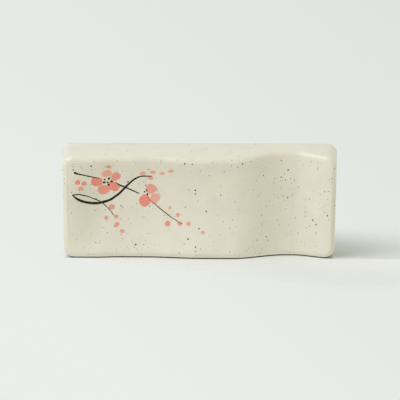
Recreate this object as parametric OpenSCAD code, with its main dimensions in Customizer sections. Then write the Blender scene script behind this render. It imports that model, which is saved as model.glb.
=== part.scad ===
// Chopstick rest with a spoon dish: one hollow-footed stoneware casting, glazed and hand painted.
// It lies as it is used: foot on z = 0, rest surface up, spoon dish towards -X, chopstick groove towards +X.

/* [Overall size] */
// Length over the glaze, where the sides are widest
rest_length = 110; // [102:1:130]
// Width over the glaze, where the sides are widest
rest_width = 44.5; // [41:0.5:56]
// Slope of the long sides from upright, in degrees
side_draft = 6.6; // [0:0.1:8]
// Slope of the end faces from upright, in degrees
end_draft = 5.8; // [0:0.1:8]
// Radius of the upright corners
corner_radius = 4; // [3:0.1:5]
// Radius of the soft rim round the rest surface
rim_radius = 2; // [1.4:0.1:2.6]

/* [Rest surface along the long edges] */
// Height of the end lip beside the spoon dish
dish_lip_height = 18.6; // [16:0.1:20]
// Height of the long edges beside the dish
dish_edge_height = 17.3; // [16:0.1:18.5]
// Height of the broad hump that parts the dish from the groove
hump_height = 20; // [18:0.1:24]
// Height of the chopstick groove's floor
groove_height = 11.1; // [10:0.1:14]
// Height of the end lip beside the groove
groove_lip_height = 17.9; // [16:0.1:21]
// Length of the level crest of the lip beside the dish
dish_lip_crest = 14; // [10:0.5:16]
// Length of the fall from that lip to the dish's edge
dish_fall = 10; // [6:0.5:14]
// Length of the rise from the dish's edge to the hump
dish_rise = 19.5; // [12:0.5:24]
// Length of the hump's level crest
hump_crest = 13.5; // [8:0.5:18]
// Length of the fall from the hump into the groove
groove_fall = 21.5; // [15:0.5:24]
// Length of the groove's level floor
groove_floor = 3; // [0.5:0.5:6]
// Length of the rise from the groove to its lip
groove_rise = 15; // [10:0.5:18]
// Length of the level crest of the lip beside the groove
groove_lip_crest = 2.5; // [2:0.5:8]

/* [Scoop along the middle line] */
// Depth of the dish's floor below its long edges
dish_depth = 3.4; // [1:0.1:4.2]
// Depth of the saddle in the hump, below the long edges
saddle_depth = 2.2; // [0.5:0.1:3]
// From the end of the rest to the start of the scoop
scoop_from_end = 3; // [2:0.5:6]
// Length of the fall from the end lip to the dish's floor
scoop_fall = 14; // [10:0.5:18]
// Length of the dish's level floor
scoop_floor = 12; // [4:0.5:18]
// Length of the saddle's level crest
saddle_crest = 3; // [1:0.5:6]
// Length of the fall from the saddle into the groove
saddle_fall = 20.5; // [15:0.5:23]

/* [Wall and foot] */
// Thickness of the foot ring and of the hollow's side walls, glaze included
side_wall = 5; // [4:0.1:6.5]
// Height from the hollow's ceiling to the rest surface on the middle line, glaze included
top_wall = 4.6; // [3.6:0.1:5.4]
// Radius of the hollow's corners, seen from below
hollow_corner = 2.6; // [1.5:0.1:4]
// Radius between the hollow's walls and its ceiling
hollow_fillet = 2.2; // [1:0.1:2.8]
// Radius of the wiped edges of the foot
foot_round = 0.6; // [0.3:0.05:0.9]

/* [Glaze and paint] */
// Thickness of the glaze coat
glaze = 0.4; // [0.2:0.05:0.6]
// Height of the bare clay that is left round the foot
bare_foot = 1.4; // [1.1:0.1:2.5]
// Height of the glaze's rounded lower edge
glaze_bead = 0.6; // [0.3:0.1:1]
// Thickness of the painted enamel
enamel = 0.12; // [0.06:0.01:0.25]

/* [Painted sprig] */
// Length of the sprig along the rest
sprig_length = 51; // [44:0.5:60]
// From the end of the rest beside the dish to the sprig
sprig_from_end = 5.4; // [4.6:0.1:6.5]
// From the rest's widest line to the middle of the sprig's highest bud
sprig_upper_margin = 6.2; // [6:0.1:9]
// From the rest's other widest line to the middle of the sprig's lowest bud
sprig_lower_margin = 8.9; // [7:0.1:11]
// Width of the bough where the brush pressed hardest
bough_width = 0.95; // [0.5:0.05:1.4]
// Width of a fine twig at its root
twig_width = 0.5; // [0.25:0.05:0.7]
// Length of a petal
petal_length = 4.3; // [3.6:0.1:4.8]
// Diameter of a painted bud
bud_size = 2.1; // [1.2:0.1:2.6]
// Diameter of a stamen dot
stamen_size = 0.8; // [0.4:0.05:1]

/* [Hidden] */

// Counts of facets
corner_steps = 5;
rim_steps = 4;
station_count = 44;
scoop_steps = 6;
level_steps = 1;
stroke_steps = 24;
petal_steps = 28;
dot_fn = 32;
quarter_turn = 90;

// The height at which the sides are widest
widest_height = bare_foot + glaze_bead;

// Half the length and width of the glazed outside at a height
function half_length(z) = rest_length / 2 - (z - widest_height) * tan(end_draft);
function half_width(z) = rest_width / 2 - (z - widest_height) * tan(side_draft);

// A section along the rest is its knots' places along X and the heights there, level before and after them
groove_lip_start = rest_length / 2 - groove_lip_crest;
groove_end = groove_lip_start - groove_rise;
groove_start = groove_end - groove_floor;
dish_edge_start = dish_lip_crest + dish_fall - rest_length / 2;
hump_end = groove_start - groove_fall;
hump_start = hump_end - hump_crest;
edge_section = [
    [dish_edge_start - dish_fall, dish_edge_start, hump_start - dish_rise, hump_start, hump_end,
        groove_start, groove_end, groove_lip_start],
    [dish_lip_height, dish_edge_height, dish_edge_height, hump_height, hump_height,
        groove_height, groove_height, groove_lip_height]
];
scoop_start = scoop_from_end - rest_length / 2;
saddle_end = groove_start - saddle_fall;
dish_height = dish_edge_height - dish_depth;
saddle_height = hump_height - saddle_depth;
middle_section = [
    [scoop_start, scoop_start + scoop_fall, scoop_start + scoop_fall + scoop_floor, saddle_end - saddle_crest,
        saddle_end, groove_start, groove_end, groove_lip_start],
    [dish_lip_height, dish_height, dish_height, saddle_height, saddle_height,
        groove_height, groove_height, groove_lip_height]
];

// Height of a section at a place along the rest
function ease(share) = share * share * (3 - 2 * share);
function height_at(section, x) =
    let (
        knots = section[0],
        heights = section[1],
        last = len([for (knot = knots) if (x > knot) knot]) - 1
    )
    last < 0 ? heights[0] :
    last == len(knots) - 1 ? heights[last] :
    let (share = (x - knots[last]) / (knots[last + 1] - knots[last]))
    heights[last] + (heights[last + 1] - heights[last]) * ease(share);

// How far the rest surface is scooped out below its long edges, on the middle line and at a share of the way to them
function scoop(x, share) = (height_at(edge_section, x) - height_at(middle_section, x)) * (1 - share * share);

// The outline of every ring: [place along the straight side, share of the corner's reach along X, and along Y]
half_outline = concat(
    [for (i = [0 : corner_steps - 1])
        let (turn = quarter_turn * i / corner_steps)
        [1, cos(turn), sin(turn)]],
    [for (i = [0 : station_count]) [1 - 2 * i / station_count, 0, 1]],
    [for (i = [1 : corner_steps])
        let (turn = quarter_turn * (1 + i / corner_steps))
        [-1, cos(turn), sin(turn)]]
);

// A form is [half its straight run, corner radius, how far it lies inside the outside]. The run grows towards the
// foot with the draft, so the upright corners keep their radius.
function outside_at(z) = [half_length(z) - corner_radius, corner_radius, 0];
function hollow_at(z) = [half_length(z) - side_wall - hollow_corner, hollow_corner, side_wall];

// The forms of the rim and of the hollow's ceiling, whose heights follow the sections
lip_height = min(dish_lip_height, groove_lip_height);
outside = outside_at(lip_height);
hollow = hollow_at(lip_height - top_wall);

function along(form, at, inset) = at[0] * form[0] + at[1] * (form[1] - inset);
function corner_point(form, at, inset, z, side) = [
    at[0] * form[0] + at[1] * (half_length(z) - form[2] - form[0] - inset),
    side * (half_width(z) - form[2] - form[1] + at[2] * (form[1] - inset)),
    z
];

// One closed ring, from the +X end over the +Y side and back; heights gives the height over each outline point
function ring(form, inset, heights) = concat(
    [for (i = [0 : len(half_outline) - 1]) corner_point(form, half_outline[i], inset, heights[i], 1)],
    [for (i = [len(half_outline) - 1 : -1 : 0]) corner_point(form, half_outline[i], inset, heights[i], -1)]
);
function level_ring(form, inset, z) = ring(form, inset, [for (at = half_outline) z]);
function outside_ring(inset, z) = level_ring(outside_at(z), inset, z);
function hollow_ring(inset, z) = level_ring(hollow_at(z), inset, z);
function raised(ring, by) = [for (point = ring) point + [0, 0, by]];

// Rings of a rounded shoulder, from the wall up to the top, on a surface that lies `depth` inside the form
function shoulder(form, section, radius, depth, drop) = [
    for (i = [0 : rim_steps])
        let (
            turn = quarter_turn * i / rim_steps,
            arc = radius - depth,
            inset = depth + arc * (1 - cos(turn)),
            lift = arc * sin(turn) - radius - drop
        )
        ring(form, inset, [for (at = half_outline) height_at(section, along(form, at, inset)) + lift])
];
function backwards(list) = [for (i = [len(list) - 1 : -1 : 0]) list[i]];

function clay_shoulder() = shoulder(outside, edge_section, rim_radius, glaze, 0);
function glaze_shoulder() = shoulder(outside, edge_section, rim_radius, 0, 0);
function ceiling_shoulder() = shoulder(hollow, middle_section, hollow_fillet, 0, top_wall);
function lining_shoulder() = shoulder(hollow, middle_section, hollow_fillet, glaze, top_wall);

// The points of a cap that lie within its ring, in rows across the rest; a cap of one step is level across
function cap_points(ring, steps) = [
    for (i = [1 : len(ring) / 2 - 2], k = [1 : 1 : steps - 1])
        let (share = 1 - 2 * k / steps, point = ring[i])
        [point[0], point[1] * share, point[2] - scoop(point[0], share)]
];

// The faces of a cap seen from above, from the index of its ring's first point and of its first inner point
function cap_faces(size, ring_first, inner_first, steps) =
    let (
        last = size / 2 - 1,
        half = ceil(steps / 2),
        at = function(i, k)
            k == 0 ? ring_first + i :
            k == steps ? ring_first + size - 1 - i :
            inner_first + (i - 1) * (steps - 1) + k - 1
    )
    concat(
        [for (k = [0 : steps - 1]) [at(0, k < half ? 0 : steps), at(1, k + 1), at(1, k)]],
        [[at(0, 0), at(0, steps), at(1, half)]],
        [for (i = [1 : last - 2], k = [0 : steps - 1]) each [
            [at(i, k), at(i, k + 1), at(i + 1, k)],
            [at(i + 1, k), at(i, k + 1), at(i + 1, k + 1)]
        ]],
        [for (k = [0 : steps - 1]) [at(last - 1, k), at(last - 1, k + 1), at(last, k < half ? 0 : steps)]],
        [[at(last, 0), at(last - 1, half), at(last, steps)]]
    );

// A solid between two caps: the first ring's cap looks down and the last ring's looks up
module ring_solid(rings, low_steps, high_steps) {
    size = len(rings[0]);
    ring_points = [for (r = rings) each r];
    low_points = cap_points(rings[0], low_steps);
    high_points = cap_points(rings[len(rings) - 1], high_steps);
    low_first = len(ring_points);
    high_first = low_first + len(low_points);
    polyhedron(
        points = concat(ring_points, low_points, high_points),
        faces = concat(
            [for (face = cap_faces(size, 0, low_first, low_steps)) backwards(face)],
            [for (r = [0 : len(rings) - 2], i = [0 : size - 1])
                let (a = r * size + i, b = r * size + (i + 1) % size)
                each [[a, a + size, b], [b, a + size, b + size]]],
            cap_faces(size, low_first - size, high_first, high_steps)
        ),
        convexity = 6
    );
}

// The fired clay: rim and scooped rest surface over an open hollow, standing on a foot ring that is cut flat
module clay_body() {
    foot_turn = quarter_turn / 2;
    color("tan")
        difference() {
            ring_solid(concat(
                backwards(ceiling_shoulder()),
                [
                    hollow_ring(0, foot_round),
                    hollow_ring(-foot_round * (1 - cos(foot_turn)), foot_round * (1 - sin(foot_turn))),
                    hollow_ring(-foot_round, 0),
                    hollow_ring(-foot_round, -foot_round),
                    outside_ring(glaze + foot_round, -foot_round),
                    outside_ring(glaze + foot_round, 0),
                    outside_ring(glaze + foot_round * (1 - cos(foot_turn)), foot_round * (1 - sin(foot_turn))),
                    outside_ring(glaze, foot_round),
                    outside_ring(glaze, bare_foot)
                ],
                clay_shoulder()
            ), level_steps, scoop_steps);
            translate([-rest_length, -rest_width, -rest_width])
                cube([2 * rest_length, 2 * rest_width, rest_width]);
        }
}

// The speckled glaze over the sides and the rest surface, thinning out above the wiped foot
module outer_glaze() {
    bead_share = 0.3;
    color("ivory")
        ring_solid(concat(
            backwards(clay_shoulder()),
            [
                outside_ring(glaze, bare_foot),
                outside_ring(glaze * bead_share, bare_foot + glaze_bead * bead_share),
                outside_ring(0, widest_height)
            ],
            glaze_shoulder()
        ), scoop_steps, scoop_steps);
}

// The same dip of glaze inside the hollow, above the wiped foot
module foot_hollow_glaze() {
    bead_share = 0.3;
    color("ivory")
        ring_solid(concat(
            backwards(lining_shoulder()),
            [
                hollow_ring(glaze, widest_height),
                hollow_ring(glaze * (1 - bead_share), bare_foot + glaze_bead * bead_share),
                hollow_ring(0, bare_foot)
            ],
            ceiling_shoulder()
        ), level_steps, level_steps);
}

// A film of enamel on the rest surface, inside the outline that is drawn as its child
module painted() {
    surface_ring = glaze_shoulder()[rim_steps];
    size = len(surface_ring);
    sprig_end = sprig_from_end + sprig_length + bud_size - rest_length / 2;
    clear_points = len([for (i = [0 : size / 2 - 1]) if (surface_ring[i][0] > sprig_end) i]);
    film_ring = [for (i = [0 : size - 1]) if (min(i, size - 1 - i) >= clear_points - 2) surface_ring[i]];
    intersection() {
        ring_solid([film_ring, raised(film_ring, enamel)], scoop_steps, scoop_steps);
        translate([sprig_from_end - rest_length / 2, sprig_lower_margin - rest_width / 2, 0])
            linear_extrude(height = 2 * hump_height)
                children();
    }
}

// A place in the sprig, from its shares of the sprig's length and width
sprig_width = rest_width - sprig_upper_margin - sprig_lower_margin;
function place(shares) = [shares[0] * sprig_length, shares[1] * sprig_width];

// The sprig's buds: shares of its length and width, then of the size of a bud
bud_shares = [
    [0.04, 0.79, 1], [0.088, 0.77, 0.9], [0.06, 0.7, 0.9], [0.296, 0.425, 1.1], [0.327, 0.293, 0.9],
    [0.25, 0.277, 0.9], [0.333, 0.19, 1.05], [0.373, 0.1, 0.9], [0.375, 0, 0.35], [0.742, 0.43, 0.75],
    [0.806, 0.34, 0.95], [0.725, 0.213, 1.2], [0.82, 0.22, 1], [0.887, 0.223, 0.95], [1, 0.113, 0.85]
];
// Buds that the brush left wide: the same shares, then the height's share of the width
wide_bud_shares = [
    [0.277, 1, 1.2, 0.6], [0.537, 0.903, 1.3, 0.62], [0.612, 0.923, 1.25, 0.62], [0.685, 0.91, 1.05, 0.7],
    [0.75, 0.947, 1.25, 0.55], [0.596, 0.84, 1.15, 0.8]
];

// The blossoms: the middle as shares of the sprig. A petal's middle from there, its length and its width are shares
// of the petal length, and its turn is in degrees.
first_blossom_shares = [0.263, 0.78];
first_petals = [
    [-0.02, 0.84, 1, 0.71, 22],
    [0.82, 0.55, 0.96, 0.86, 35],
    [0.6, -0.43, 1.14, 0.93, -32],
    [-0.36, -0.8, 1.05, 0.95, 200],
    [-0.98, 0.02, 1, 0.95, 170]
];
second_blossom_shares = [0.588, 0.593];
second_petals = [
    [0.11, 0.61, 1.02, 0.95, 60],
    [-0.41, -0.55, 1.2, 1.18, 40],
    [0.59, -0.25, 1.11, 0.91, 75]
];
petal_swell_share = 0.12;

// Where the stamens lie round each blossom's middle, as shares of the petal length
first_stamen_shares = [[-0.23, 0.23], [0.16, 0.32], [-0.27, -0.05], [0.02, -0.05], [0.41, 0.05], [0.11, -0.27]];
second_stamen_shares = [[-0.27, 0.48], [-0.45, 0.32], [-0.2, 0.09]];

// The brush strokes: points as shares of the sprig
bough_shares = [[0, 0.622], [0.05, 0.55], [0.12, 0.493], [0.2, 0.48], [0.29, 0.535], [0.36, 0.62], [0.435, 0.76],
    [0.49, 0.837], [0.55, 0.863], [0.61, 0.863]];
spray_shares = [[0, 0.622], [0.08, 0.607], [0.156, 0.547], [0.213, 0.493], [0.254, 0.43], [0.31, 0.31]];
upper_twig_shares = [[0.019, 0.94], [0.031, 0.917], [0.09, 0.887], [0.187, 0.84]];
middle_twig_shares = [[0.338, 0.76], [0.4, 0.7], [0.462, 0.65], [0.508, 0.613]];
lower_twig_shares = [[0.562, 0.567], [0.63, 0.47], [0.717, 0.35], [0.79, 0.265], [0.842, 0.217]];

// A smooth curve through points: its place at a share of the whole way
function clamped(points, i) = points[max(0, min(len(points) - 1, i))];
function curve(points, share) =
    let (
        way = share * (len(points) - 1),
        i = min(floor(way), len(points) - 2),
        t = way - i,
        p0 = clamped(points, i - 1),
        p1 = points[i],
        p2 = points[i + 1],
        p3 = clamped(points, i + 2)
    )
    (2 * p1 + (p2 - p0) * t + (2 * p0 - 5 * p1 + 4 * p2 - p3) * t * t + (3 * p1 - p0 - 3 * p2 + p3) * t * t * t) / 2;

// A brush stroke along a smooth curve, swelling from its first width to the full one and running out
module stroke(shares, full_width, start_share, end_share, swell_share) {
    points = [for (s = shares) place(s)];
    function swell(share) = share < swell_share
        ? start_share + (1 - start_share) * ease(share / swell_share)
        : end_share + (1 - end_share) * ease((1 - share) / (1 - swell_share));
    edge = [
        for (i = [0 : stroke_steps])
            let (
                share = i / stroke_steps,
                step = 1 / stroke_steps / 2,
                way = curve(points, min(1, share + step)) - curve(points, max(0, share - step)),
                across = [-way[1], way[0]] / norm(way),
                reach = full_width * swell(share) / 2
            )
            [curve(points, share) + across * reach, curve(points, share) - across * reach]
    ];
    polygon(concat([for (e = edge) e[0]], backwards([for (e = edge) e[1]])));
}

module all_strokes() {
    stroke(bough_shares, bough_width, 0.4, 0.5, 0.3);
    stroke(spray_shares, twig_width, 0.7, 0.6, 0.5);
    stroke(upper_twig_shares, twig_width, 1, 0.6, 0.2);
    stroke(middle_twig_shares, twig_width, 0.7, 0.6, 0.4);
    stroke(lower_twig_shares, twig_width, 0.7, 0.8, 0.4);
}

// One petal about its own middle, a little fuller towards +X
module petal(length, width) {
    polygon([
        for (i = [0 : petal_steps - 1])
            let (turn = 4 * quarter_turn * i / petal_steps)
            [
                length / 2 * cos(turn),
                width / 2 * sin(turn) * (1 + petal_swell_share * cos(turn))
            ]
    ]);
}

module blossom(middle_shares, petals) {
    translate(place(middle_shares))
        for (p = petals)
            translate([p[0], p[1]] * petal_length)
                rotate(p[4])
                    petal(petal_length * p[2], petal_length * p[3]);
}

module all_petals() {
    blossom(first_blossom_shares, first_petals);
    blossom(second_blossom_shares, second_petals);
}

module stamens(middle_shares, dots) {
    translate(place(middle_shares))
        for (d = dots)
            translate(d * petal_length)
                circle(d = stamen_size, $fn = dot_fn);
}

module all_stamens() {
    stamens(first_blossom_shares, first_stamen_shares);
    stamens(second_blossom_shares, second_stamen_shares);
}

// The black strokes of the bough and its twigs
module branch_strokes() {
    color("black")
        painted()
            all_strokes();
}

// The pink petals of both blossoms, with the black left clear
module blossom_petals() {
    color("salmon")
        painted()
            difference() {
                all_petals();
                all_strokes();
                all_stamens();
            }
}

// The pink buds along the twigs. The black is left clear, and so is a petal that lies over a bud.
module bud_dots() {
    color("salmon")
        painted()
            difference() {
                union() {
                    for (s = bud_shares)
                        translate(place(s))
                            circle(d = bud_size * s[2], $fn = dot_fn);
                    for (s = wide_bud_shares)
                        translate(place(s))
                            petal(bud_size * s[2], bud_size * s[2] * s[3]);
                }
                all_strokes();
                all_petals();
            }
}

// The black stamen dots in the blossoms
module stamen_dots() {
    color("black")
        painted()
            all_stamens();
}

clay_body();
outer_glaze();
foot_hollow_glaze();
branch_strokes();
blossom_petals();
bud_dots();
stamen_dots();
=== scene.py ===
import math

import bpy
import numpy as np
from mathutils import Matrix, Vector


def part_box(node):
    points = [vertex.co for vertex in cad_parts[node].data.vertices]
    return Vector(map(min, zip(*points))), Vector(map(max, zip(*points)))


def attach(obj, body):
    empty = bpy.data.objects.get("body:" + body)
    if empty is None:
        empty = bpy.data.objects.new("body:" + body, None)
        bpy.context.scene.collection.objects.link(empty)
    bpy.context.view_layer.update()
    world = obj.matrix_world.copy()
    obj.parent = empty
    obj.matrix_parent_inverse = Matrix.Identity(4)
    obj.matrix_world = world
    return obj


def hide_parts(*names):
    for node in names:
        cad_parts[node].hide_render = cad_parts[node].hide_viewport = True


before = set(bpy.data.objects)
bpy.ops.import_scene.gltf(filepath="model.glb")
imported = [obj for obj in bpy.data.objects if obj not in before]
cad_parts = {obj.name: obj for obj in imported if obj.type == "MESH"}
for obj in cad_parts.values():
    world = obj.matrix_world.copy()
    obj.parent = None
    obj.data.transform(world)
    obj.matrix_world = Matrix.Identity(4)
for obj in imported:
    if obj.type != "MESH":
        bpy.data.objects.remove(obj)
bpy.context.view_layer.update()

# The forms are worked out in millimetres, in the row's own axes, and turned into metres in the meshes
MM = 0.001
QUARTER_TURN = math.pi / 2
FULL_TURN = 2 * math.pi
HALF_TURN_DEGREES = 180
glaze_low, glaze_high = (np.array(corner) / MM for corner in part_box("outer_glaze"))
LENGTH = glaze_high[0] - glaze_low[0]
WIDTH = glaze_high[1] - glaze_low[1]
HUMP_HEIGHT = glaze_high[2]
BARE_FOOT = glaze_low[2]

# The form of the rest: the same sizes as the fired piece
SIDE_DRAFT = math.radians(6.6)
END_DRAFT = math.radians(5.8)
CORNER_RADIUS = 4.0
RIM_RADIUS = 2.0
DISH_LIP_HEIGHT = 18.6
DISH_EDGE_HEIGHT = 17.3
GROOVE_HEIGHT = 11.1
GROOVE_LIP_HEIGHT = 17.9
DISH_DEPTH = 3.4
SADDLE_DEPTH = 2.2
SIDE_WALL = 5.0
TOP_WALL = 4.6
HOLLOW_CORNER = 2.6
HOLLOW_FILLET = 2.2
FOOT_ROUND = 0.6
GLAZE = 0.4
GLAZE_BEAD = 0.6
WIDEST_HEIGHT = BARE_FOOT + GLAZE_BEAD
# How long the level stretches and the ramps of the wave are along the long edges
DISH_LIP_CREST = 14.0
DISH_FALL = 10.0
DISH_RISE = 19.5
HUMP_CREST = 13.5
GROOVE_FALL = 21.5
GROOVE_FLOOR = 3.0
GROOVE_RISE = 15.0
GROOVE_LIP_CREST = 2.5
# The same along the middle line, where the scoop starts a little way in from the end
SCOOP_FROM_END = 3.0
SCOOP_FALL = 14.0
SCOOP_FLOOR = 12.0
SADDLE_CREST = 3.0
SADDLE_FALL = 20.5
# How softly the rim runs over into the scoop
SCOOP_EASE = 0.25

# Where the wave's stretches and ramps meet along X, and the heights of the scooped ones
GROOVE_LIP_START = LENGTH / 2 - GROOVE_LIP_CREST
GROOVE_END = GROOVE_LIP_START - GROOVE_RISE
GROOVE_START = GROOVE_END - GROOVE_FLOOR
HUMP_END = GROOVE_START - GROOVE_FALL
HUMP_START = HUMP_END - HUMP_CREST
DISH_LIP_END = DISH_LIP_CREST - LENGTH / 2
DISH_EDGE_START = DISH_LIP_END + DISH_FALL
DISH_EDGE_END = HUMP_START - DISH_RISE
SCOOP_START = SCOOP_FROM_END - LENGTH / 2
DISH_START = SCOOP_START + SCOOP_FALL
DISH_END = DISH_START + SCOOP_FLOOR
SADDLE_END = GROOVE_START - SADDLE_FALL
SADDLE_START = SADDLE_END - SADDLE_CREST
DISH_HEIGHT = DISH_EDGE_HEIGHT - DISH_DEPTH
SADDLE_HEIGHT = HUMP_HEIGHT - SADDLE_DEPTH

# A section along the rest is the places of its knots and the heights there
EDGE_SECTION = (
    (DISH_LIP_END, DISH_EDGE_START, DISH_EDGE_END, HUMP_START,
     HUMP_END, GROOVE_START, GROOVE_END, GROOVE_LIP_START),
    (DISH_LIP_HEIGHT, DISH_EDGE_HEIGHT, DISH_EDGE_HEIGHT, HUMP_HEIGHT,
     HUMP_HEIGHT, GROOVE_HEIGHT, GROOVE_HEIGHT, GROOVE_LIP_HEIGHT),
)
MIDDLE_SECTION = (
    (SCOOP_START, DISH_START, DISH_END, SADDLE_START,
     SADDLE_END, GROOVE_START, GROOVE_END, GROOVE_LIP_START),
    (DISH_LIP_HEIGHT, DISH_HEIGHT, DISH_HEIGHT, SADDLE_HEIGHT,
     SADDLE_HEIGHT, GROOVE_HEIGHT, GROOVE_HEIGHT, GROOVE_LIP_HEIGHT),
)

# How fine the meshes are: steps along the rest, across it, and round its corners, rim, foot and glaze bead
STATIONS = 200
ACROSS_STEPS = 60
CORNER_STEPS = 14
RIM_STEPS = 12
FOOT_STEPS = 6
BEAD_STEPS = 4
RIM_TURNS = np.linspace(0, QUARTER_TURN, RIM_STEPS + 1)
FOOT_TURNS = np.linspace(0, QUARTER_TURN, FOOT_STEPS + 1)
BEAD_TURNS = np.linspace(0, QUARTER_TURN, BEAD_STEPS + 1)[1:]
# Shares of the way out from the middle line, of the points between a cross row's ends
INNER_SHARES = 1 - 2 * np.arange(1, ACROSS_STEPS) / ACROSS_STEPS


def half_length(z):
    return LENGTH / 2 - (z - WIDEST_HEIGHT) * math.tan(END_DRAFT)


def half_width(z):
    return WIDTH / 2 - (z - WIDEST_HEIGHT) * math.tan(SIDE_DRAFT)


def ease(share):
    """A smooth step from 0 to 1, as the share goes from 0 to 1."""
    share = np.clip(share, 0, 1)
    return share * share * (3 - 2 * share)


def height_at(section, x):
    """Height of a section at places along the rest: level runs and smooth ramps between its knots."""
    knots, heights = section
    z = np.full_like(np.asarray(x, float), heights[0])
    for start, end, low, high in zip(knots, knots[1:], heights, heights[1:]):
        z = z + (high - low) * ease((x - start) / (end - start))
    return z


def flat_reach(x):
    """From the middle line to where the rim's rounding starts."""
    return half_width(height_at(EDGE_SECTION, x)) - RIM_RADIUS


def softened(distance):
    """A distance that grows slowly at first."""
    return distance * distance / (distance + SCOOP_EASE)


def scoop(x, share):
    """How far the rest surface is scooped out below its long edges, at a share of the way out to them."""
    reach = flat_reach(x)
    inward = softened((1 - np.abs(share)) * reach) / softened(reach)
    depth = height_at(EDGE_SECTION, x) - height_at(MIDDLE_SECTION, x)
    return depth * inward * (2 - inward)


def rest_height(x, y):
    return height_at(EDGE_SECTION, x) - scoop(x, np.clip(y / flat_reach(x), -1, 1))


# A form is half its straight run, its corner radius and how far it lies inside the outside. The run grows
# towards the foot with the draft, so the upright corners keep their radius.
def outside_at(z):
    return half_length(z) - CORNER_RADIUS, CORNER_RADIUS, 0.0


def hollow_at(z):
    return half_length(z) - SIDE_WALL - HOLLOW_CORNER, HOLLOW_CORNER, SIDE_WALL


# The forms of the rim and of the hollow's ceiling, whose heights follow the sections
LIP_HEIGHT = min(DISH_LIP_HEIGHT, GROOVE_LIP_HEIGHT)
OUTSIDE = outside_at(LIP_HEIGHT)
HOLLOW = hollow_at(LIP_HEIGHT - TOP_WALL)


def outline():
    """The border of a grid over the rest: place on the run, share of the corner along X and Y, side."""
    turn = np.linspace(0, QUARTER_TURN, CORNER_STEPS + 1)
    corner = np.ones(CORNER_STEPS)
    place = np.concatenate([corner, np.linspace(1, -1, STATIONS + 1), -corner])
    along = np.concatenate([np.cos(turn[:-1]), np.zeros(STATIONS + 1), -np.sin(turn[1:])])
    across = np.concatenate([np.sin(turn[:-1]), np.ones(STATIONS + 1), np.cos(turn[1:])])
    none = np.zeros(len(INNER_SHARES))
    one = np.ones(len(INNER_SHARES))
    side = np.ones(len(place))
    return (
        np.concatenate([place, -one, place[::-1], one]),
        np.concatenate([along, -one, along[::-1], one]),
        np.concatenate([across, none, -across[::-1], none]),
        np.concatenate([side, INNER_SHARES, -side, INNER_SHARES[::-1]]),
    )


PLACE, ALONG, ACROSS, SIDE = outline()
ROWS = STATIONS + 1 + 2 * CORNER_STEPS


def ring(form, inset, z):
    """One closed ring of points round the rest, at given heights."""
    run, corner, inside = form
    z = np.broadcast_to(np.asarray(z, float), PLACE.shape)
    x = PLACE * run + ALONG * (half_length(z) - inside - run - inset)
    y = SIDE * (half_width(z) - inside - corner) + ACROSS * (corner - inset)
    return np.stack([x, y, z], axis=1)


def outside_ring(inset, z):
    return ring(outside_at(z), inset, z)


def hollow_ring(inset, z):
    return ring(hollow_at(z), inset, z)


def shoulder(form, section, radius, depth, drop):
    """Rings of a rounded shoulder from the wall up to the top, on a surface `depth` inside the form."""
    arc = radius - depth
    rings = []
    for turn in RIM_TURNS:
        inset = depth + arc * (1 - math.cos(turn))
        x = PLACE * form[0] + ALONG * (form[1] - inset)
        rings.append(ring(form, inset, height_at(section, x) + arc * math.sin(turn) - radius - drop))
    return rings


def cap_grid(border, first, scooped):
    """A grid of points that fills a ring, and the indexes of the whole grid, border included."""
    inner_count = len(INNER_SHARES)
    rows = border[1:ROWS - 1]
    x = np.repeat(rows[:, :1], inner_count, axis=1)
    y = rows[:, 1:2] * INNER_SHARES
    z = np.repeat(rows[:, 2:3], inner_count, axis=1)
    if scooped:
        z = z - scoop(x, np.broadcast_to(INNER_SHARES, x.shape))
    count = len(border)
    index = np.zeros((ROWS, ACROSS_STEPS + 1), int)
    index[:, 0] = np.arange(ROWS)
    index[-1, 1:-1] = ROWS + np.arange(inner_count)
    index[:, -1] = ROWS + inner_count + np.arange(ROWS)[::-1]
    index[0, 1:-1] = np.arange(count - 1, count - ACROSS_STEPS, -1)
    index[1:-1, 1:-1] = first + np.arange(x.size).reshape(x.shape)
    return np.stack([x, y, z], axis=2).reshape(-1, 3), index


def grid_faces(index):
    """The four-sided faces of a grid of indexes. Those of the transposed grid look the other way."""
    corners = [index[:-1, :-1], index[1:, :-1], index[1:, 1:], index[:-1, 1:]]
    return np.stack(corners, axis=-1).reshape(-1, 4)


def ring_solid(rings, low_scooped, high_scooped):
    """Points and faces of a solid between a cap on its first ring, looking down, and one on its last."""
    size = len(rings[0])
    ring_count = len(rings) * size
    low_points, low = cap_grid(rings[0], ring_count, low_scooped)
    high_points, high = cap_grid(rings[-1], ring_count + len(low_points), high_scooped)
    # The border of a cap is a ring that is there already, and for the high cap it is the last ring
    high = np.where(high < size, high + ring_count - size, high)
    step = np.arange(size)
    after = (step + 1) % size
    band = np.stack([step, after, after + size, step + size], axis=1)
    bands = [base + band for base in range(0, ring_count - size, size)]
    faces = [grid_faces(low.T), grid_faces(high)] + bands
    return np.concatenate(rings + [low_points, high_points]), np.concatenate(faces)


def set_attribute(mesh, name, values):
    attribute = mesh.attributes.new(name, "FLOAT", "POINT")
    attribute.data.foreach_set("value", np.asarray(values, np.float32).reshape(-1))


def make_piece(name, points, faces, slot, *nodes):
    """A smooth-shaded mesh piece from millimetre points, which stands for CAD nodes."""
    mesh = bpy.data.meshes.new(name)
    mesh.from_pydata((np.asarray(points) * MM).tolist(), [], [list(map(int, face)) for face in faces])
    mesh.validate()
    mesh.shade_smooth()
    piece = bpy.data.objects.new(name, mesh)
    bpy.context.scene.collection.objects.link(piece)
    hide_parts(*nodes)
    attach(piece, "root")
    return piece


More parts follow.
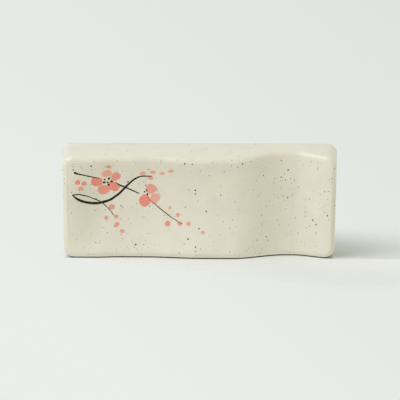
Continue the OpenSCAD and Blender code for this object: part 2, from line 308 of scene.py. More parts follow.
def make_clay():
    """The stoneware: down from the hollow's ceiling, round the foot ring and up the outside."""
    foot = [(FOOT_ROUND * (1 - math.cos(turn)), FOOT_ROUND * (1 - math.sin(turn))) for turn in FOOT_TURNS]
    rings = shoulder(HOLLOW, MIDDLE_SECTION, HOLLOW_FILLET, 0, TOP_WALL)[::-1]
    rings += [hollow_ring(-inset, z) for inset, z in foot]
    rings += [outside_ring(GLAZE + inset, z) for inset, z in foot[::-1]]
    rings += [outside_ring(GLAZE, BARE_FOOT)]
    rings += shoulder(OUTSIDE, EDGE_SECTION, RIM_RADIUS, GLAZE, 0)
    return make_piece("clay", *ring_solid(rings, False, True), "stoneware", "clay_body")


def bead_height(turn):
    """Height of the glaze's rounded lower edge, which stops above the bare foot."""
    return BARE_FOOT + GLAZE_BEAD * (1 - math.cos(turn))


def mark_thin_glaze(piece, rings_before):
    """Marks how thin the glaze has run on the rim: 1 in the middle of the outer shoulder, 0 off it."""
    size = len(PLACE)
    values = np.zeros(len(piece.data.vertices))
    for level, turn in enumerate(RIM_TURNS):
        start = (rings_before + level) * size
        values[start:start + size] = math.sin(2 * turn)
    set_attribute(piece.data, "thin_glaze", values)


def make_outer_glaze():
    """The coat of glaze: down over the clay, round its lower edge and up again on the outside."""
    inner = shoulder(OUTSIDE, EDGE_SECTION, RIM_RADIUS, GLAZE, 0)[::-1]
    inner += [outside_ring(GLAZE, BARE_FOOT)]
    inner += [outside_ring(GLAZE * (1 - math.sin(turn)), bead_height(turn)) for turn in BEAD_TURNS]
    rings = inner + shoulder(OUTSIDE, EDGE_SECTION, RIM_RADIUS, 0, 0)
    piece = make_piece("glaze_coat", *ring_solid(rings, True, True), "speckled_glaze", "outer_glaze")
    mark_thin_glaze(piece, len(inner))
    return piece


def make_lining():
    """The glaze inside the hollow: down its free side, round its lower edge and up along the clay."""
    rings = shoulder(HOLLOW, MIDDLE_SECTION, HOLLOW_FILLET, GLAZE, TOP_WALL)[::-1]
    rings += [hollow_ring(GLAZE * math.sin(turn), bead_height(turn)) for turn in BEAD_TURNS[::-1]]
    rings += [hollow_ring(0, BARE_FOOT)]
    rings += shoulder(HOLLOW, MIDDLE_SECTION, HOLLOW_FILLET, 0, TOP_WALL)
    solid = ring_solid(rings, False, False)
    return make_piece("glaze_lining", *solid, "speckled_glaze", "foot_hollow_glaze")


# The painted sprig, as places on the rest. A stroke is a list of (x, y, width).
BOUGH = [
    (-49.6, 5.1, 0.41), (-48.5, 3.9, 0.7), (-47.1, 2.8, 0.88), (-45.2, 1.8, 0.99), (-43.4, 1.2, 1.05),
    (-41.3, 0.8, 1.08), (-39.3, 0.8, 1.05), (-36.4, 1.6, 0.99), (-34.6, 2.4, 0.94), (-33.1, 3.5, 0.89),
    (-31.4, 4.8, 0.88), (-28.8, 7.6, 0.82), (-27.4, 9, 0.75), (-25.9, 10.4, 0.7), (-24.5, 11.3, 0.64),
    (-22.8, 12, 0.56), (-21.2, 12.1, 0.53), (-18.5, 12.1, 0.41),
]
SPRAY = [
    (-49.6, 5.1, 0.38), (-47.1, 5, 0.47), (-45.5, 4.5, 0.43), (-43.6, 3.8, 0.4), (-41.6, 2.7, 0.38),
    (-40, 1.9, 0.4), (-38.7, 1.2, 0.42), (-37.9, 0.5, 0.37), (-36.6, -0.7, 0.34), (-35.6, -1.8, 0.3),
    (-34.7, -2.8, 0.3), (-33.8, -4.2, 0.34),
]
UPPER_TWIG = [
    (-48.8, 14.3, 0.57), (-48.3, 13.9, 0.98), (-47.4, 13.5, 0.63), (-45, 12.8, 0.48), (-42.4, 12, 0.46),
    (-40.1, 11.4, 0.34), (-38.9, 11.2, 0.17),
]
MIDDLE_TWIG = [
    (-33, 9.3, 0.18), (-32.5, 9.1, 0.29), (-31, 8.1, 0.59), (-29.1, 7.3, 0.59), (-26.1, 5.9, 0.47),
    (-23.6, 4.7, 0.38),
]
LOWER_TWIG = [
    (-20.9, 3.3, 0.1), (-19.2, 2, 0.14), (-17.4, 0.5, 0.31), (-15.2, -1.4, 0.37), (-12.9, -3.1, 0.37),
    (-10.9, -4.6, 0.31), (-9.3, -5.5, 0.29), (-7.9, -6.4, 0.31), (-6.7, -7, 0.37),
]
# A petal is (x, y, length, width, turn in degrees, how much wider its far end is, how strong its pink is)
PETALS = [
    (-36.2, 13.2, 4.43, 3.05, 22, 0.1, 0.15), (-32.8, 11.8, 4.09, 3.55, 40, 0.1, 0.75),
    (-33.8, 7.75, 5.2, 4, -25, 0, 0.95), (-37.5, 6.4, 4.8, 4.14, 200, 0.1, 0.7),
    (-40.1, 9.8, 4.9, 4, 175, 0.1, 0.95), (-19, 6.8, 4.43, 4.14, 60, 0.1, 0.55),
    (-21.4, 1.9, 4.92, 4.83, 40, 0, 1), (-17.5, 2.7, 4.83, 3.74, 75, 0.3, 0.2),
]
# A bud is (x, y, length, width, turn in degrees, how strong its pink is)
BUDS = [
    (-47.5, 10, 2.3, 2.2, 0, 0.8), (-45.1, 9.3, 2.2, 2.05, 20, 0.8), (-46.5, 7.3, 2.1, 1.95, 60, 0.5),
    (-34.6, -0.85, 2.8, 2.4, 20, 0.6), (-32.9, -4.7, 1.89, 1.83, 0, 0.7),
    (-36.8, -5.2, 1.89, 1.83, 40, 0.55), (-32.6, -7.8, 2.39, 2, 70, 0.65),
    (-30.5, -10.4, 1.94, 1.83, 0, 0.5), (-30.4, -13.4, 0.83, 0.56, 80, 0.6),
    (-22.2, 13.3, 2.83, 1.72, 5, 0.35), (-18.3, 13.9, 2.66, 1.67, 0, 0.35),
    (-14.6, 13.5, 2.22, 1.55, 0, 0.3), (-11.2, 14.5, 2.66, 1.39, 5, 0.35),
    (-19.1, 11.4, 2.39, 1.89, 0, 0.45), (-35.4, 16.1, 2.55, 1.5, 0, 0.6),
    (-11.6, -0.7, 1.55, 1.5, 0, 0.1), (-8.4, -3.4, 2, 1.94, 0, 0.4), (-12.5, -7.1, 2.5, 2.39, 0, 0.85),
    (-7.7, -6.9, 2.22, 1.94, 0, 0.5), (-4.3, -6.8, 2, 1.94, 0, 0.4), (1.4, -10, 1.78, 1.78, 0, 0.15),
]
# A stamen is (x, y)
STAMENS = [
    (-37.1, 10.6), (-35.4, 11), (-37.3, 9.4), (-36, 9.4), (-34.4, 9.8), (-35.6, 8.4), (-20.7, 6.2),
    (-21.5, 5.5), (-20.4, 4.5),
]

# The draws of the brushwork all come from this seed, in the order of its pieces
BRUSH_SEED = 11
# Heights of the first pink dab and the first black stroke on the glaze, and of each next one over the last
PINK_RISE = 0.03
INK_RISE = 0.085
PAINT_STEP = 0.002
# The share of its height that paint has where least of it lies, and how far its underside is bedded in
THIN_RISE_SHARE = 0.1
PAINT_BED = 0.03
# How wide the soft edge of a dab is, and the largest share of a small dab that it takes
SOFT_EDGE = 0.3
SOFT_SHARE_LIMIT = 0.6
# The waves round a dab that make its outline uneven, and the least share of its full size that one has
DAB_WAVES = (2, 3, 5)
LEAST_WAVE_SHARE = 0.3
# How uneven the dabs are, how square a petal's outline is, where 1 is an oval, and how much a bud widens
PETAL_WOBBLE = 0.06
BUD_WOBBLE = 0.08
STAMEN_WOBBLE = 0.12
PETAL_FULLNESS = 0.82
BUD_WIDENING = 0.1
# A stamen's usual length, the shares of it that the smallest and the largest have, and its width's share
STAMEN_LENGTH = 1.18
STAMEN_LENGTH_SHARES = (0.8, 1.2)
STAMEN_WIDTH_SHARE = 0.85
# The points of a dab: rings within its soft edge, and spokes
CORE_RINGS = 3
DAB_SPOKES = 48
# From which width on a stroke's black is full, and the least share of that width that still counts
FULL_INK_WIDTH = 0.45
LEAST_INK_SHARE = 0.2
# How uneven a stroke's width is, how blunt its tips are, and how much paint is left along its sides
STROKE_WOBBLE = 0.08
TIP_BLUNTNESS = 0.05
STROKE_SIDE_AMOUNT = 0.5
# The points of a stroke: how many steps across it, and how long a step along it is
STROKE_ACROSS = 6
STROKE_STEP = 0.25


def drape(plan, rise):
    """Plan points laid on the rest surface, that much above it."""
    x, y = plan[:, 0], plan[:, 1]
    return np.stack([x, y, rest_height(x, y) + rise], axis=1)


class Film:
    """Gathers thin closed dabs of paint into one mesh, with the amount of paint and its strength."""

    def __init__(self, rise):
        self.points, self.faces, self.amount, self.strength = [], [], [], []
        self.count = 0
        self.rise = rise

    def add(self, plan, grid, border, amount, strength):
        """Adds a dab from plan points with faces. The border is its outline, anticlockwise from above."""
        size = len(plan)
        self.rise += PAINT_STEP
        top = drape(plan, self.rise * np.clip(amount, THIN_RISE_SHARE, 1))
        bottom = drape(plan, -PAINT_BED)
        self.points += [top, bottom]
        start = self.count
        self.faces += [[start + i for i in face] for face in grid]
        self.faces += [[start + size + i for i in face[::-1]] for face in grid]
        for a, b in zip(border, border[1:] + border[:1]):
            self.faces.append([start + a, start + size + a, start + size + b, start + b])
        self.amount += [amount, amount]
        self.strength += [np.broadcast_to(strength, size)] * 2
        self.count += 2 * size

    def piece(self, name, slot, node):
        made = make_piece(name, np.concatenate(self.points), self.faces, slot, node)
        set_attribute(made.data, "paint_amount", np.concatenate(self.amount))
        set_attribute(made.data, "paint_strength", np.concatenate(self.strength))
        return made


def dab_edge(rng, length, width, turn, widening, wobble, fullness):
    """The uneven oval outline of a dab, wider towards the end that it is turned to."""
    spokes = np.arange(DAB_SPOKES) * FULL_TURN / DAB_SPOKES
    uneven = np.ones(DAB_SPOKES)
    for wave in DAB_WAVES:
        # The wobble is a wave's usual swing, and the root of 2 turns that into its full height
        size = wobble / wave * math.sqrt(2) * rng.uniform(LEAST_WAVE_SHARE, 1)
        uneven += size * np.cos(wave * spokes + rng.uniform(0, FULL_TURN))
    along, across = (np.sign(part) * np.abs(part) ** fullness for part in (np.cos(spokes), np.sin(spokes)))
    across = across * (1 + widening * along)
    edge = np.stack([length / 2 * along, width / 2 * across], axis=1) * uneven[:, None]
    tilt = math.radians(turn)
    return edge @ np.array([[math.cos(tilt), math.sin(tilt)], [-math.sin(tilt), math.cos(tilt)]])


def add_dab(film, rng, x, y, length, width, turn, widening, strength, wobble, fullness=1.0):
    """A dab of paint: rings of points from its middle out to its edge, which is soft."""
    edge = dab_edge(rng, length, width, turn, widening, wobble, fullness)
    soft_share = min(SOFT_SHARE_LIMIT, SOFT_EDGE / (min(length, width) / 2))
    core = np.linspace(0, 1 - soft_share, CORE_RINGS + 1)[1:]
    levels = np.concatenate([core, [1 - soft_share / 2, 1]])
    plan = [np.array([[x, y]])]
    amount = [np.ones(1)]
    for level in levels:
        plan.append(edge * level + (x, y))
        amount.append(np.full(DAB_SPOKES, np.clip((1 - level) / soft_share, 0, 1)))
    faces = [[0, 1 + i, 1 + (i + 1) % DAB_SPOKES] for i in range(DAB_SPOKES)]
    last = 1 + (len(levels) - 1) * DAB_SPOKES
    for base in range(1, last, DAB_SPOKES):
        for i in range(DAB_SPOKES):
            j = (i + 1) % DAB_SPOKES
            faces.append([base + i, base + DAB_SPOKES + i, base + DAB_SPOKES + j, base + j])
    border = [last + i for i in range(DAB_SPOKES)]
    film.add(np.concatenate(plan), faces, border, np.concatenate(amount), strength)


def smooth_line(points, step):
    """Catmull-Rom curve through rows of numbers, at about equal steps in plan."""
    points = np.array(points, float)
    padded = np.concatenate([2 * points[:1] - points[1:2], points, 2 * points[-1:] - points[-2:-1]])
    line = []
    for p0, p1, p2, p3 in zip(padded, padded[1:], padded[2:], padded[3:]):
        count = max(1, int(np.linalg.norm((p2 - p1)[:2]) / step))
        for t in np.arange(count) / count:
            line.append((2 * p1 + (p2 - p0) * t + (2 * p0 - 5 * p1 + 4 * p2 - p3) * t ** 2
                         + (3 * p1 - p0 - 3 * p2 + p3) * t ** 3) / 2)
    return np.array(line + [points[-1]])


def add_stroke(film, rng, points):
    """A brush stroke whose width follows its points, with a rounded start and end."""
    line = smooth_line(points, STROKE_STEP)
    way = np.gradient(line[:, :2], axis=0)
    way /= np.linalg.norm(way, axis=1)[:, None]
    side = np.stack([-way[:, 1], way[:, 0]], axis=1)
    travelled = np.concatenate([[0], np.cumsum(np.linalg.norm(np.diff(line[:, :2], axis=0), axis=1))])
    half = line[:, 2] / 2
    reach = half * (1 + STROKE_WOBBLE * rng.standard_normal(len(line)))
    for distance in (travelled, travelled[-1] - travelled):
        reach = reach * np.sqrt(np.clip(distance / half + TIP_BLUNTNESS, 0, 1))
    strength = np.clip(line[:, 2] / FULL_INK_WIDTH, LEAST_INK_SHARE, 1) ** 2
    shares = np.linspace(1, -1, STROKE_ACROSS + 1)
    offsets = side[:, None] * (reach[:, None, None] * shares[None, :, None])
    plan = (line[:, None, :2] + offsets).reshape(-1, 2)
    across_amount = np.clip(1 + STROKE_SIDE_AMOUNT - np.abs(shares) ** 3, 0, 1)
    columns = STROKE_ACROSS + 1
    index = np.arange(len(plan)).reshape(-1, columns)
    faces = grid_faces(index.T).tolist()
    border = np.concatenate([index[0], index[1:, -1], index[-1, -2::-1], index[-2:0:-1, 0]]).tolist()
    film.add(plan, faces, border, np.tile(across_amount, len(line)), np.repeat(strength, columns))


def make_sprig():
    """The strokes, petals, buds and stamens of the painted sprig, each kind as one piece."""
    rng = np.random.default_rng(BRUSH_SEED)
    petals, buds, branches, stamens = Film(PINK_RISE), Film(PINK_RISE), Film(INK_RISE), Film(INK_RISE)
    for points in (BOUGH, SPRAY, UPPER_TWIG, MIDDLE_TWIG, LOWER_TWIG):
        add_stroke(branches, rng, points)
    for petal in PETALS:
        add_dab(petals, rng, *petal, PETAL_WOBBLE, PETAL_FULLNESS)
    for *bud, strength in BUDS:
        add_dab(buds, rng, *bud, BUD_WIDENING, strength, BUD_WOBBLE)
    for x, y in STAMENS:
        length = STAMEN_LENGTH * rng.uniform(*STAMEN_LENGTH_SHARES)
        turn = rng.uniform(0, HALF_TURN_DEGREES)
        add_dab(stamens, rng, x, y, length, length * STAMEN_WIDTH_SHARE, turn, 0, 1, STAMEN_WOBBLE)
    return (branches.piece("sprig_branches", "black_enamel", "branch_strokes"),
            petals.piece("sprig_petals", "pink_enamel", "blossom_petals"),
            buds.piece("sprig_buds", "pink_enamel", "bud_dots"),
            stamens.piece("sprig_stamens", "black_enamel", "stamen_dots"))


class Nodes:
    """Short calls for building a tree of shader nodes."""

    def __init__(self, tree):
        self.tree = tree

    def link(self, source, target):
        self.tree.links.new(source, target)

    def set(self, target, value):
        """Gives an input a plain value, or links another node's output to it."""
        if isinstance(value, bpy.types.NodeSocket):
            self.link(value, target)
        else:
            target.default_value = value

    def new(self, kind, inputs=(), **settings):
        made = self.tree.nodes.new(kind)
        for key, value in settings.items():
            setattr(made, key, value)
        for key, value in dict(inputs).items():
            self.set(made.inputs[key], value)
        return made

    def place(self):
        """The place on the object, in metres."""
        return self.new("ShaderNodeTexCoord").outputs["Object"]

    def math(self, operation, a, b=0.0, c=0.0):
        return self.new("ShaderNodeMath", {0: a, 1: b, 2: c}, operation=operation).outputs[0]

    def vector(self, operation, a, b=(0, 0, 0), scale=1.0):
        return self.new("ShaderNodeVectorMath", {0: a, 1: b, 3: scale}, operation=operation).outputs[0]

    def axis(self, vector, index):
        return self.new("ShaderNodeSeparateXYZ", {0: vector}).outputs[index]

    def noise(self, scale, detail):
        inputs = {"Vector": self.place(), "Scale": scale, "Detail": detail}
        return self.new("ShaderNodeTexNoise", inputs).outputs["Fac"]

    def ramp(self, value, low, high):
        """A smooth step: 0 below low, 1 above high."""
        inputs = {"Value": value, "From Min": low, "From Max": high}
        return self.new("ShaderNodeMapRange", inputs, interpolation_type="SMOOTHSTEP").outputs["Result"]

    def mix(self, share, a, b):
        """A mix of two colours."""
        return self.new("ShaderNodeMix", {0: share, 6: a, 7: b}, data_type="RGBA").outputs[2]

    def attribute(self, name):
        return self.new("ShaderNodeAttribute", attribute_name=name).outputs["Fac"]

    def bump(self, height, strength, distance):
        inputs = {"Height": height, "Strength": strength, "Distance": distance}
        return self.new("ShaderNodeBump", inputs).outputs["Normal"]


class Surface(Nodes):
    """The nodes of a new material, with its shader."""

    def __init__(self, name):
        self.material = bpy.data.materials.new(name)
        self.material.use_nodes = True
        super().__init__(self.material.node_tree)
        self.shader = self.tree.nodes["Principled BSDF"]

    def shade(self, inputs):
        for key, value in inputs.items():
            self.set(self.shader.inputs[key], value)
        return self.material


# Colours are linear red, green and blue. Lengths in the materials are in metres. A noise is its scale, in
# waves a metre, and its detail. A range is where a smooth step over a value starts and where it ends.
GLAZE_CREAM = (0.74, 0.71, 0.58, 1)
GLAZE_POOLED = (0.71, 0.68, 0.56, 1)
GLAZE_WARM = (0.60, 0.455, 0.31, 1)
MOTTLE_NOISE, MOTTLE_RANGE = (140.0, 3.0), (0.35, 0.7)
GLAZE_IOR = 1.5
# The least roughness of the glaze, how much more it has in places, and its ripples
GLAZE_ROUGHNESS, ROUGHNESS_SPREAD, ROUGHNESS_NOISE = 0.15, 0.08, (200.0, 2.0)
RIPPLE_NOISE, RIPPLE_STRENGTH, RIPPLE_HEIGHT = (90.0, 2.0), 0.25, 0.0006
# The rim's thin glaze is warm in patches, and more so by the groove's end on the photograph's lower side
THIN_NOISE, THIN_RANGE = (60.0, 2.0), (0.3, 0.7)
GROOVE_END_RANGE, LOWER_SIDE_RANGE = (0.048, 0.054), (-0.002, 0.012)
RIM_WARMTH, GROOVE_END_WARMTH = 0.06, 0.45
# Specks gather in patches, which end short of the long sides
SPECK_BROWN = (0.035, 0.026, 0.015, 1)
SPECK_SOFT = (0.19, 0.148, 0.07, 1)
PATCH_NOISE, PATCH_RANGE, PATCH_END_RANGE = (70.0, 2.0), (0.32, 0.62), (0.0185, 0.0205)
# Specks are (spacing, radius, the share of places that hold one, how many more do in a patch, seed, cover)
FINE_SPECKS = (0.0009, 0.0003, 0.08, 0.40, 3.1, 0.85)
COARSE_SPECKS = (0.0014, 0.00045, 0.04, 0.20, 7.7, 0.95)
# The smallest speck's share of the radius, how much more the largest has, and how rare large ones are
SMALLEST_SPECK_SHARE, SPECK_SPREAD_SHARE, SPECK_RARENESS = 0.35, 0.7, 3.0
SPECK_EDGE_RANGE = (0.65, 1.0)
# The way through the random pattern in which a seed moves the specks
SEED_WAY = (1.0, 0.7, 1.3)
# The waves that make the specks ragged: how many lie along a piece, their detail, how far they reach
RAGGED_SCALE, RAGGED_DETAIL, RAGGED_REACH = 1500.0, 1.0, 0.00025
# The bare clay, mottled from tan to pale, and its grain
CLAY_TAN = (0.55, 0.42, 0.28, 1)
CLAY_PALE = (0.66, 0.54, 0.39, 1)
CLAY_NOISE, CLAY_ROUGHNESS = (180.0, 3.0), 0.85
GRAIN_NOISE, GRAIN_STRENGTH, GRAIN_HEIGHT = (2600.0, 3.0), 0.6, 0.0001
# The two enamels, each at its full strength and where it is thin
PINK = (0.80, 0.245, 0.165, 1)
PINK_THIN = (0.77, 0.42, 0.32, 1)
INK = (0.008, 0.0055, 0.002, 1)
INK_THIN = (0.21, 0.125, 0.055, 1)
# The brush's streaks, and the share of the colour's strength that they take
STREAK_NOISE, STREAK_RANGE, STREAK_SHARE = (900.0, 3.0), (0.25, 0.6), 0.3
# From which amount of paint on nothing of the glaze shows
COVER_AMOUNT = 0.8
PAINT_ROUGHNESS, PINK_GLOSS, INK_GLOSS = 0.35, 0.4, 0.1


def add_specks(n, colour, brown, place, patchy, kind):
    """Lays round specks of uneven size over a colour, in some of the cells of a random pattern."""
    spacing, radius, share, patch_share, seed, cover = kind
    moved = n.vector("ADD", place, tuple(seed * part for part in SEED_WAY))
    cells = n.new("ShaderNodeTexVoronoi", {"Vector": moved, "Scale": 1 / spacing}, feature="F1").outputs
    chance = n.new("ShaderNodeSeparateColor", {0: cells["Color"]}).outputs
    large = n.math("POWER", chance[1], SPECK_RARENESS)
    size = n.math("MULTIPLY_ADD", large, radius * SPECK_SPREAD_SHARE, radius * SMALLEST_SPECK_SHARE)
    distance = n.math("DIVIDE", n.math("MULTIPLY", cells["Distance"], spacing), size)
    dot = n.math("SUBTRACT", 1.0, n.ramp(distance, *SPECK_EDGE_RANGE))
    present = n.math("LESS_THAN", chance[0], n.math("MULTIPLY_ADD", patchy, patch_share, share))
    return n.mix(n.math("MULTIPLY", n.math("MULTIPLY", dot, present), cover), colour, brown)


def glaze_colour(n):
    """Cream glaze with soft mottling and iron specks, which leave the long sides nearly clear."""
    place = n.place()
    colour = n.mix(n.ramp(n.noise(*MOTTLE_NOISE), *MOTTLE_RANGE), GLAZE_CREAM, GLAZE_POOLED)
    waves = n.new("ShaderNodeTexNoise", {"Scale": RAGGED_SCALE, "Detail": RAGGED_DETAIL}).outputs["Color"]
    ragged = n.vector("ADD", place, n.vector("SCALE", waves, scale=RAGGED_REACH))
    aside = n.math("ABSOLUTE", n.axis(place, 1))
    on_face = n.math("SUBTRACT", 1.0, n.ramp(aside, *PATCH_END_RANGE))
    patchy = n.math("MULTIPLY", n.ramp(n.noise(*PATCH_NOISE), *PATCH_RANGE), on_face)
    colour = add_specks(n, colour, SPECK_SOFT, ragged, patchy, FINE_SPECKS)
    return add_specks(n, colour, SPECK_BROWN, ragged, patchy, COARSE_SPECKS)


def glaze_material():
    """Glossy glaze over its own ripples, thinner and warmer on the rim."""
    n = Surface("cream_glaze")
    thin = n.math("MULTIPLY", n.attribute("thin_glaze"), n.ramp(n.noise(*THIN_NOISE), *THIN_RANGE))
    near_groove = n.ramp(n.axis(n.place(), 0), *GROOVE_END_RANGE)
    lower = n.math("SUBTRACT", 1.0, n.ramp(n.axis(n.place(), 1), *LOWER_SIDE_RANGE))
    near_both = n.math("MULTIPLY", near_groove, lower)
    warmth = n.math("MULTIPLY", thin, n.math("MULTIPLY_ADD", near_both, GROOVE_END_WARMTH, RIM_WARMTH))
    return n.shade({
        "Base Color": n.mix(warmth, glaze_colour(n), GLAZE_WARM),
        "Roughness": n.math("MULTIPLY_ADD", n.noise(*ROUGHNESS_NOISE), ROUGHNESS_SPREAD, GLAZE_ROUGHNESS),
        "IOR": GLAZE_IOR,
        "Normal": n.bump(n.noise(*RIPPLE_NOISE), RIPPLE_STRENGTH, RIPPLE_HEIGHT),
    })


def clay_material():
    """Bare, matt and grainy stoneware."""
    n = Surface("bare_stoneware")
    return n.shade({
        "Base Color": n.mix(n.noise(*CLAY_NOISE), CLAY_TAN, CLAY_PALE),
        "Roughness": CLAY_ROUGHNESS,
        "Normal": n.bump(n.noise(*GRAIN_NOISE), GRAIN_STRENGTH, GRAIN_HEIGHT),
    })


def paint_material(name, full, thin, gloss):
    """Enamel on the glaze, which shows through where little paint lies."""
    n = Surface(name)
    streaks = n.ramp(n.noise(*STREAK_NOISE), *STREAK_RANGE)
    streaked = n.math("MULTIPLY_ADD", streaks, STREAK_SHARE, 1 - STREAK_SHARE)
    paint = n.mix(n.math("MULTIPLY", n.attribute("paint_strength"), streaked), thin, full)
    cover = n.ramp(n.attribute("paint_amount"), 0.0, COVER_AMOUNT)
    return n.shade({
        "Base Color": n.mix(cover, glaze_colour(n), paint),
        "Roughness": PAINT_ROUGHNESS,
        "Specular IOR Level": gloss,
    })


def dress(piece, material):
    piece.data.materials.clear()
    piece.data.materials.append(material)


# The camera was fitted to the edges in the photograph, in which the rest stands on its long side at -Y
CAMERA_TARGET_HEIGHT = 10.0
CAMERA_DISTANCE = 554.5
CAMERA_ELEVATION = math.radians(8.18)
CAMERA_YAW = math.radians(0.36)
CAMERA_ROLL = math.radians(0.22)
# In pixels of the photograph: its size, the focal length and where the target is
IMAGE_SIZE = 400
FOCAL_PIXELS = 1395.3
TARGET_PIXEL = (199.29, 202.67)
SENSOR = 36.0
# What lies nearer or further than this, in metres, isn't drawn
CLIP_NEAR, CLIP_FAR = 0.01, 20.0


def turn_about(axis, angle):
    return Matrix.Rotation(angle, 3, axis)


def make_camera():
    """A camera at the photograph's place: it looks at the rest surface from a little above the floor."""
    # The photograph's up, seen from the row, leans back by the draft of the side that the rest stands on
    standing = turn_about("X", SIDE_DRAFT)
    towards = turn_about("X", CAMERA_ELEVATION) @ turn_about("Y", -CAMERA_YAW) @ standing
    target = Vector((0, 0, CAMERA_TARGET_HEIGHT))
    location = towards.transposed() @ Vector((0, 0, CAMERA_DISTANCE)) + target
    # Two small turns put the target beside the picture's middle, and the roll comes last
    across, down = (math.atan((pixel - IMAGE_SIZE / 2) / FOCAL_PIXELS) for pixel in TARGET_PIXEL)
    view = turn_about("Z", -CAMERA_ROLL) @ turn_about("Y", -across) @ turn_about("X", -down) @ towards
    data = bpy.data.cameras.new("camera")
    data.lens = FOCAL_PIXELS / IMAGE_SIZE * SENSOR
    data.sensor_width = SENSOR
    data.clip_start = CLIP_NEAR
    data.clip_end = CLIP_FAR
    camera = bpy.data.objects.new("camera", data)
    camera.matrix_world = Matrix.Translation(location * MM) @ view.transposed().to_4x4()
    bpy.context.scene.collection.objects.link(camera)
    bpy.context.scene.camera = camera


# How far the floor reaches, and how long its steps are across
FLOOR_REACH = 150.0
FLOOR_STEP = 2.0
# A hair's breadth, so that the floor and the side that stands on it don't lie in one plane
FLOOR_GAP = 0.06
# Rows of the floor near the line of contact, by how far in front of it they lie
CONTACT_ROWS = np.array([-6, -3, 0, 0.6, 1.2, 1.8, 2.1, 2.4, 2.7, 3.0, 3.3, 4, 5, 7])
# How far in front of that line its painted contact shadow starts to fade and has faded out
CONTACT_SHADOW_START, CONTACT_SHADOW_END = 2.1, 3.0
# How far before the rest's ends and its foot the painted contact shadow starts to fade
CONTACT_SHADOW_END_FADE, CONTACT_SHADOW_BACK_FADE = 2.4, 6.0
# How far the painted bounce light, standing for the light that the rest's face throws back, reaches in
# front of it, and how soon it is full
PAINTED_BOUNCE_REACH, PAINTED_BOUNCE_EDGE = 60.0, 2.0
# How far the painted shadow at the right end reaches sideways and back, and over how much of its front it
# grows
PAINTED_SHADOW_REACH, PAINTED_SHADOW_DEPTH, PAINTED_SHADOW_FRONT = 24.0, 110.0, 8.0
# How far from the rest the floor starts to fade and has faded out, each at its left end and its right end
FADE_START, FADE_END = (-8.0, 18.0), (2.0, 75.0)
FLOOR_GREY = (0.70, 0.72, 0.69, 1)
FLOOR_GREY_LIGHT = (0.715, 0.735, 0.705, 1)
FLOOR_NOISE, FLOOR_RANGE = (700.0, 3.0), (0.3, 0.7)
# What the painted marks on the floor turn its colour to, in the order in which they are laid: painted
# bounce light, painted shadow and painted contact shadow
FLOOR_MARKS = {
    "painted_bounce_light": (0.84, 0.85, 0.82, 1),
    # The "shade" mark is a painted shadow
    "shade": (0.595, 0.64, 0.612, 1),
    "painted_contact_shadow": (0.05, 0.045, 0.03, 1),
}
FLOOR_ROUGHNESS, FLOOR_GLOSS = 0.9, 0.1


def floor_material():
    """A pale floor that shows from above only, fades out round the rest, and has painted bounce light, a
    painted shadow and a dark painted contact shadow where they touch.
    """
    n = Surface("pale_floor")
    colour = n.mix(n.ramp(n.noise(*FLOOR_NOISE), *FLOOR_RANGE), FLOOR_GREY, FLOOR_GREY_LIGHT)
    for mark, marked in FLOOR_MARKS.items():
        colour = n.mix(n.attribute(mark), colour, marked)
    n.shade({"Base Color": colour, "Roughness": FLOOR_ROUGHNESS, "Specular IOR Level": FLOOR_GLOSS})
    clear = n.new("ShaderNodeBsdfTransparent").outputs[0]
    back = n.new("ShaderNodeNewGeometry").outputs["Backfacing"]
    hidden = n.math("MAXIMUM", n.attribute("fade"), back)
    shown = n.new("ShaderNodeMixShader", {0: hidden, 1: n.shader.outputs[0], 2: clear}).outputs[0]
    n.link(shown, n.tree.nodes["Material Output"].inputs["Surface"])
    return n.material


def floor_grid():
    """How far each point lies across the floor, along it and in front of the line of contact."""
    x = np.arange(-FLOOR_REACH, FLOOR_REACH + FLOOR_STEP, FLOOR_STEP)
    far = np.arange(FLOOR_STEP, FLOOR_REACH, FLOOR_STEP * 2)
    ahead = np.concatenate([CONTACT_ROWS[0] - far[::-1], CONTACT_ROWS, CONTACT_ROWS[-1] + far])
    # The line of contact is where the rim's rounding leaves the side, that far up the tilted side
    contact = (height_at(EDGE_SECTION, x) - RIM_RADIUS - WIDEST_HEIGHT) / math.cos(SIDE_DRAFT)
    across, ahead = np.meshgrid(x, ahead)
    return across, contact + ahead, ahead


def floor_marks(across, along, ahead):
    """How far each point has faded, and how strongly its painted contact shadow, painted bounce light and
    painted shadow darken, light and shade it.
    """
    # How far the point lies from the rest: beside it, and before or behind it
    half_height = (along - ahead).mean() / 2
    beside = np.maximum(np.abs(across) - LENGTH / 2, 0)
    before = np.maximum(np.abs(along - half_height) - half_height, 0)
    ends_x = (-LENGTH / 2, LENGTH / 2)
    fade_start = np.interp(across, ends_x, FADE_START)
    fade_end = np.interp(across, ends_x, FADE_END)
    fade = ease((np.hypot(beside, before) - fade_start) / (fade_end - fade_start))
    ends = ease((half_length(LIP_HEIGHT) - np.abs(across)) / CONTACT_SHADOW_END_FADE)
    # Painted contact shadow: a dark line painted on the floor where the rest's side meets it
    painted_contact_shadow = ends * ease((CONTACT_SHADOW_END - ahead) / (CONTACT_SHADOW_END - CONTACT_SHADOW_START))
    painted_contact_shadow = painted_contact_shadow * ease(along / CONTACT_SHADOW_BACK_FADE)
    # Painted bounce light: the floor in front of the rest is painted lighter
    in_front = ease((ahead - CONTACT_SHADOW_START) / PAINTED_BOUNCE_EDGE)
    painted_bounce_light = np.maximum(ends, in_front) * ease(1 - np.abs(ahead - CONTACT_SHADOW_END) / PAINTED_BOUNCE_REACH)
    # A painted shadow to the rest's right, on the floor beside and behind its end
    shade = ease(1 - np.abs(across - LENGTH / 2) / PAINTED_SHADOW_REACH)
    shade = shade * ease((CONTACT_SHADOW_END - ahead) / PAINTED_SHADOW_FRONT) * ease(1 + ahead / PAINTED_SHADOW_DEPTH)
    return {"fade": fade * (1 - painted_contact_shadow), "painted_contact_shadow": painted_contact_shadow, "painted_bounce_light": painted_bounce_light, "shade": shade}


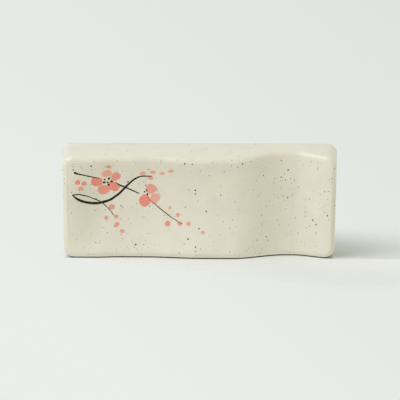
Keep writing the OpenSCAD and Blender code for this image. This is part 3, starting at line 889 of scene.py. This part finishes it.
def make_floor():
    """The floor under the side that the rest stands on in the photograph. It lights and shades nothing."""
    across, along, ahead = floor_grid()
    y = along * math.sin(SIDE_DRAFT) - half_width(WIDEST_HEIGHT) - FLOOR_GAP
    z = along * math.cos(SIDE_DRAFT) + WIDEST_HEIGHT
    points = np.stack([across, y, z], axis=-1).reshape(-1, 3)
    faces = grid_faces(np.arange(across.size).reshape(across.shape))
    mesh = bpy.data.meshes.new("floor")
    mesh.from_pydata((points * MM).tolist(), [], faces.tolist())
    for label, values in floor_marks(across, along, ahead).items():
        set_attribute(mesh, label, values)
    floor = bpy.data.objects.new("floor", mesh)
    bpy.context.scene.collection.objects.link(floor)
    dress(floor, floor_material())
    floor.visible_diffuse = False
    floor.visible_glossy = False
    floor.visible_transmission = False
    floor.visible_shadow = False


# The even light, and the pale background that the camera sees, which is brighter to the left and below
LIGHT_LEVEL = 0.806
LIGHT_TINT = (1.0, 0.997, 0.925, 1)
BACKGROUND_LEVEL = 0.765
BACKGROUND_TINT = (0.981, 1.0, 0.961, 1)
BACKGROUND_SLOPE = (-0.15, -0.2, 0.0)
# How far the background may lie below its level and above it
BACKGROUND_FALL, BACKGROUND_RISE = 0.03, 0.085
# A lamp is (direction from the rest, distance and size in metres, power in watts, colour)
LAMPS = {
    "key": ((-0.6, 0.9, 0.35), 1.0, 0.55, 2.3, (0.95, 1.0, 1.14)),
    "side": ((-0.9, 0.5, 0.6), 1.0, 0.9, 1.9, (1.0, 0.99, 1.35)),
}


def make_world():
    """Pale even light, with a nearly white background where the camera, a reflection or glass shows it."""
    world = bpy.data.worlds.new("studio")
    bpy.context.scene.world = world
    world.use_nodes = True
    n = Nodes(world.node_tree)
    way = n.new("ShaderNodeTexCoord").outputs["Generated"]
    slope = n.new("ShaderNodeVectorMath", {0: way, 1: BACKGROUND_SLOPE}, operation="DOT_PRODUCT")
    level = n.math("ADD", slope.outputs["Value"], BACKGROUND_LEVEL)
    level = n.math("MAXIMUM", level, BACKGROUND_LEVEL - BACKGROUND_FALL)
    level = n.math("MINIMUM", level, BACKGROUND_LEVEL + BACKGROUND_RISE)
    path = n.new("ShaderNodeLightPath").outputs
    seen = path["Is Camera Ray"]
    for other in ("Is Glossy Ray", "Is Transmission Ray"):
        seen = n.math("MAXIMUM", seen, path[other])
    strength = n.new("ShaderNodeMix", {0: seen, 2: LIGHT_LEVEL, 3: level}, data_type="FLOAT").outputs[0]
    background = n.tree.nodes["Background"]
    n.link(strength, background.inputs["Strength"])
    n.link(n.mix(seen, LIGHT_TINT, BACKGROUND_TINT), background.inputs["Color"])


def add_lamp(name, direction, distance, size, power, colour):
    """A square soft lamp that shines on the rest from a direction in the row's axes."""
    data = bpy.data.lights.new(name, "AREA")
    data.size = size
    data.energy = power
    data.color = colour
    lamp = bpy.data.objects.new(name, data)
    towards = Vector(direction).normalized()
    lamp.location = towards * distance
    lamp.rotation_mode = "QUATERNION"
    lamp.rotation_quaternion = towards.to_track_quat("Z", "Y")
    bpy.context.scene.collection.objects.link(lamp)


make_camera()
clay = make_clay()
glaze_coat = make_outer_glaze()
lining = make_lining()
branches, petals, buds, stamens = make_sprig()

glaze = glaze_material()
dress(glaze_coat, glaze)
dress(lining, glaze)
dress(clay, clay_material())
pink = paint_material("coral_enamel", PINK, PINK_THIN, PINK_GLOSS)
ink = paint_material("black_enamel_paint", INK, INK_THIN, INK_GLOSS)
dress(petals, pink)
dress(buds, pink)
dress(branches, ink)
dress(stamens, ink)

make_floor()
make_world()
for lamp_name, lamp_values in LAMPS.items():
    add_lamp(lamp_name, *lamp_values)
bpy.context.scene.view_settings.view_transform = "Standard"
